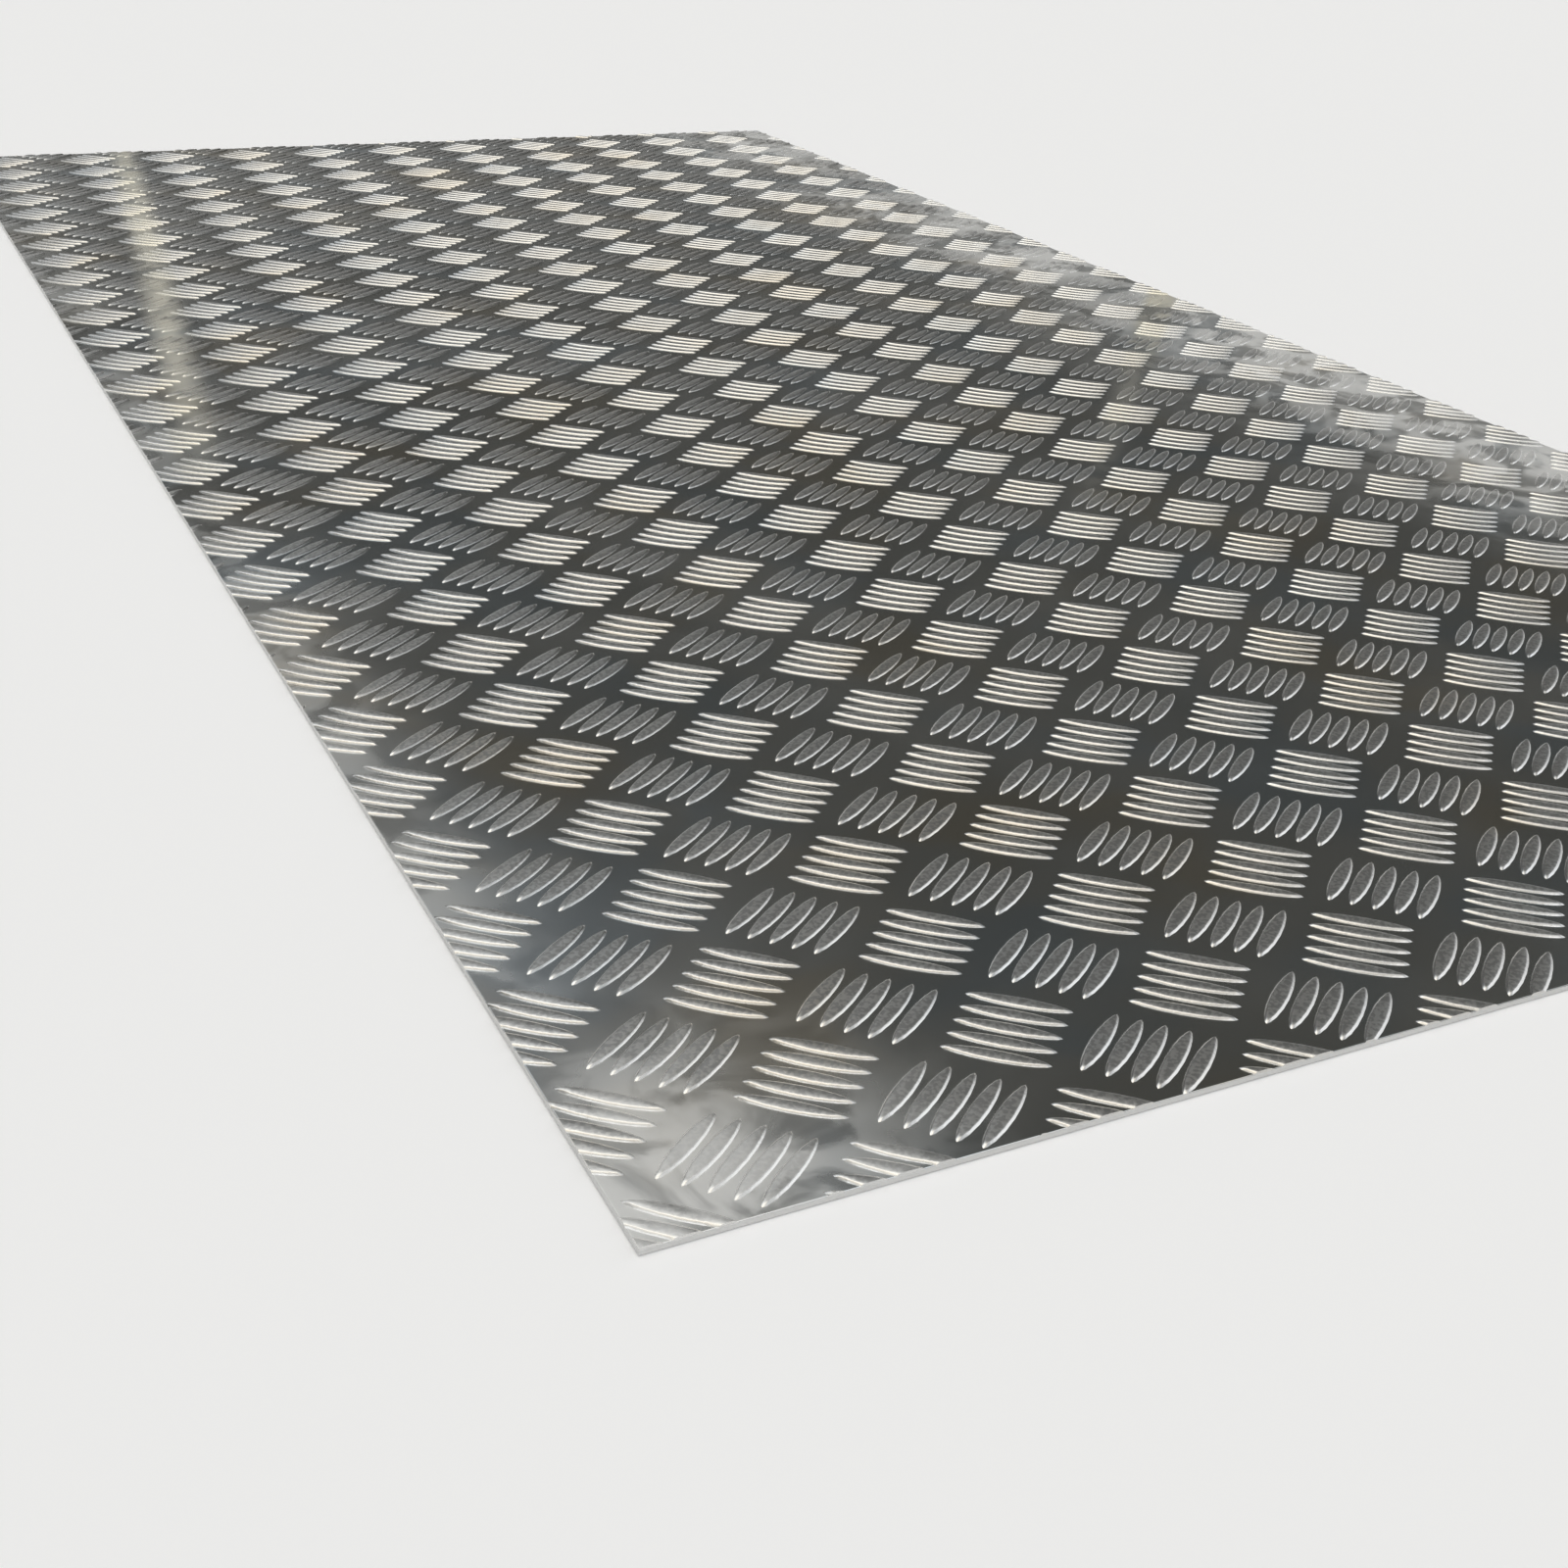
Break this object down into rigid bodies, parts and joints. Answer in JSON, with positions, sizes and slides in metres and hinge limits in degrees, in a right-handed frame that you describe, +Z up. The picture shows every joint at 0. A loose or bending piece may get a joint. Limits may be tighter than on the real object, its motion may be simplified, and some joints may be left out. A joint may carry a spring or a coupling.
{
  "type": "checker plate",
  "caption": "Flat aluminium checker plate with sheared edges; groups of five raised bars on the top face give grip underfoot.",
  "frame": {"origin": "middle of the sheet's underside", "axes": "+Y along the sheet in the rolling direction, +X across it, +Z up out of the tread side"},
  "size_m": [0.6, 1.2, 0.0015],
  "materials": {
    "rolled_aluminium": "bright mill finish, lightly smeared"
  },
  "bodies": {
    "root": {"checker_plate": "rolled_aluminium"}
  },
  "joints": []
}
